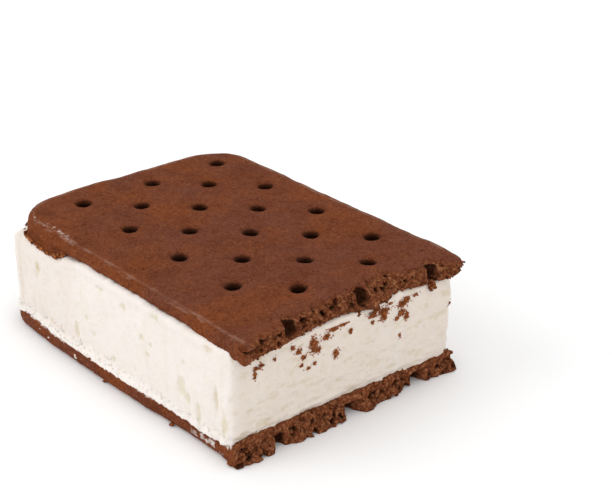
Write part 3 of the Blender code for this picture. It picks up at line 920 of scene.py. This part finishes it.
# Half holes: (x, y, radius)
TOP_HALF_HOLES = [(33.2, -13.1, 1.3), (32.4, 2.4, 1.3), (32.7, 17.5, 1.3)]
BOTTOM_HALF_HOLES = [(33.4, -15.6, 0.95), (32.2, -0.3, 0.95), (31.9, 14.7, 1.1)]
NOWHERE = (-40, -41)              # a ramp along x that stays 0 all over the wafer

cocoa, vanilla = baked_cocoa_wafer(), vanilla_ice_cream()
crumb_paint, frost_paint = loose_cocoa_crumb(), frost()
top_band, top_torn = wafer(
    "top_wafer_baked", "top_wafer", cocoa, side_up=1, seed=1, first_row=(-25.8, 2.9),
    skin_break=TOP_SKIN, foot_break=TOP_FOOT, half_holes=TOP_HALF_HOLES, hole_depth=0.9,
    profile=TOP_SIDE, torn_profile=TOP_TORN, corner=8.0, end_inset=0.1, bow=0.5,
    bulge_x=(0,), bulge_out=(0,),
    lip_x=(-32, -27, -16, -14, -9, 15, 22, 27, 31, 34.5),
    lip_z=(-0.2, -1.0, -1.1, 0.1, 0.6, 0.7, 0.6, 0.1, 0.2, -0.6),
    lip_out=(0, 0.5, 0.55, 0.1, 0, 0, 0, 0, 0, 0),
    dense_from=0.9, crack=0.0, tip=0, chipped=1,
    fleck_x=(-9, -17), smear_x=NOWHERE, smear_drop=(0, 1), frosted=0)
low_band, low_torn = wafer(
    "bottom_wafer_baked", "bottom_wafer", cocoa, side_up=-1, seed=500, first_row=(-26.2, -0.1),
    skin_break=BOTTOM_SKIN, foot_break=BOTTOM_FOOT, half_holes=BOTTOM_HALF_HOLES, hole_depth=0.85,
    profile=BOTTOM_SIDE, torn_profile=BOTTOM_TORN, corner=6.5, end_inset=1.0, bow=1.0,
    bulge_x=(-34, -30, -26, -18, 1, 12, 15, 22, 31),
    bulge_out=(0.3, 0.5, 0.8, 1.2, 1.25, 1.0, 0.5, 0.15, 0.35),
    lip_x=(-36, -29, -22), lip_z=(-0.8, -0.6, 0), lip_out=(0, 0, 0),
    dense_from=0.6, crack=2.6, tip=1, chipped=0.15,
    fleck_x=NOWHERE, smear_x=(19, 27), smear_drop=(-0.3, -1.2), frosted=1)
ice_band, ice_torn, ice_front_left = ice_cream(vanilla)

chance = np.random.default_rng(7)


def pick(band, columns, rows, count):
    """Random points of a band within those columns and rows."""
    at = chance.choice(np.flatnonzero(columns), count)
    return band[chance.integers(rows[0], rows[1], count), at]


def nearest(points, wanted, axes):
    """The point nearest to each wanted place, measured along two axes."""
    return points[((points[None, :, axes] - wanted[:, None]) ** 2).sum(axis=-1).argmin(axis=1)]


def torn_columns(band, torn, half_holes):
    """The torn columns of a wafer's band that aren't in or beside a half hole."""
    gaps = np.abs(band[3, :, 1][:, None] - np.array(half_holes)[:, 1])
    return torn & (gaps.min(axis=1) > HALF_HOLE_REACH)


def loose_grains():
    """Grains on both torn faces, and coarser ones along the top wafer's lip."""
    top_columns = torn_columns(top_band, top_torn, TOP_HALF_HOLES)
    low_columns = torn_columns(low_band, low_torn, BOTTOM_HALF_HOLES)
    x, y, _ = top_band[3].T
    lip_columns = (x < -14) & (y < -19) & (x > -31)
    grains = np.concatenate([
        pick(top_band, top_columns, (1, 22), TOP_GRAINS),
        pick(low_band, low_columns, (1, 20), BOTTOM_GRAINS),
        pick(top_band, lip_columns, (13, 18), LIP_GRAINS)])
    grains = grains + chance.normal(0, 0.06, grains.shape)
    sizes = chance.uniform(0.07, 0.2, len(grains))
    sizes[-LIP_GRAINS:] *= 1.7
    tones = chance.uniform(0, 0.95, len(grains)) ** 2
    tones[-LIP_GRAINS:] += 0.15
    return grains, sizes, tones


def stuck_grains():
    """Grains in round heaps on the torn ice cream, thickest and darkest in each heap's middle, and
    in lumps that hang from the wafers."""
    face = ice_band[5:-5, ice_torn > 0.9].reshape(-1, 3)
    centres, sizes, tones = [], [], []
    for y, z, wide, tall, grains in STUCK_CRUMBS:
        wide, tall = CRUMB_SPREAD * wide, CRUMB_SPREAD * tall
        count = int(grains * CRUMB_DENSITY) + FEWEST_GRAINS
        angle = chance.uniform(0, 2 * math.pi, count)
        reach = np.abs(chance.normal(0, 0.68, count))
        wanted = np.stack([y + wide * reach * np.cos(angle), z + tall * reach * np.sin(angle)], axis=1)
        at = nearest(face, wanted, [1, 2])
        heap = np.clip(1 - reach, 0, 1)
        at[:, 0] += 0.03 + 0.6 * min(wide, tall) * heap * chance.uniform(0, 1, count)
        centres.append(at)
        sizes.append(chance.uniform(0.07, 0.2, count) * (0.7 + 0.6 * heap))
        tones.append(np.clip(chance.uniform(0.2, 0.8, count) + 0.45 * reach, 0, 1))
    for x, y, z, size, grains in HUNG_CRUMBS:
        centres.append(np.array([x, y, z]) + chance.normal(0, 0.4 * size, (grains, 3)))
        sizes.append(chance.uniform(0.12, 0.3, grains))
        tones.append(chance.uniform(0.1, 0.7, grains))
    return np.concatenate(centres), np.concatenate(sizes), np.concatenate(tones)


def fleck_grains():
    """The drops on the bottom wafer's side, and flecks along the ice cream's foot."""
    side = low_band[:, ~low_torn & (low_band[3, :, 1] < -20)].reshape(-1, 3)
    drops, drop_sizes = np.array(DROPS)[:, :2], np.array(DROPS)[:, 2]
    drops = nearest(side, drops, [0, 2])
    drops[:, 1] += 0.45 * drop_sizes
    foot = pick(ice_band, ice_front_left > 0.9, (-9, -4), FOOT_FLECKS)
    foot = foot + chance.normal(0, 0.12, (FOOT_FLECKS, 3))
    foot[:, 1] = np.maximum(foot[:, 1], ice_band[..., 1].min() + 0.15)
    sizes = np.concatenate([drop_sizes, chance.uniform(0.05, 0.16, FOOT_FLECKS)])
    return np.concatenate([drops, foot]), sizes, chance.uniform(0, 1, len(sizes))


strew("torn_crumb_grains", *loose_grains(), "chocolate_wafer", crumb_paint, seed=21)
strew("stuck_crumbs", *stuck_grains(), "chocolate_wafer", crumb_paint, seed=22)
strew("frost_flecks", *fleck_grains(), "vanilla_ice_cream", frost_paint, seed=23)

# ------------ stage

bpy.ops.mesh.primitive_plane_add(size=4.0, location=(0, 0, 0))
floor = bpy.context.object
floor.name = "floor"
floor.data.materials.append(pale_floor())

world = bpy.data.worlds.new("studio")
bpy.context.scene.world = world
world.use_nodes = True
background = world.node_tree.nodes["Background"]
background.inputs["Color"].default_value = (1, 1, 1, 1)
background.inputs["Strength"].default_value = 1.0


def aimed(name, data, place, target):
    """A light or a camera at that place, facing the target."""
    obj = bpy.data.objects.new(name, data)
    obj.location = place
    obj.rotation_euler = (Vector(target) - Vector(place)).to_track_quat("-Z", "Y").to_euler()
    bpy.context.scene.collection.objects.link(obj)
    return obj


softbox = bpy.data.lights.new("key", "AREA")
softbox.size = 0.5
softbox.energy = 1.7
aimed("key", softbox, (-0.35, -0.6, 0.55), (0, 0, 0.01))

camera = bpy.data.cameras.new("camera")
camera.lens = 90.6
camera.clip_start = 0.01
bpy.context.scene.camera = aimed(
    "camera", camera, (0.19414, -0.14527, 0.13026), (-0.00485, 0.02234, 0.01))
bpy.context.scene.view_settings.view_transform = "Standard"
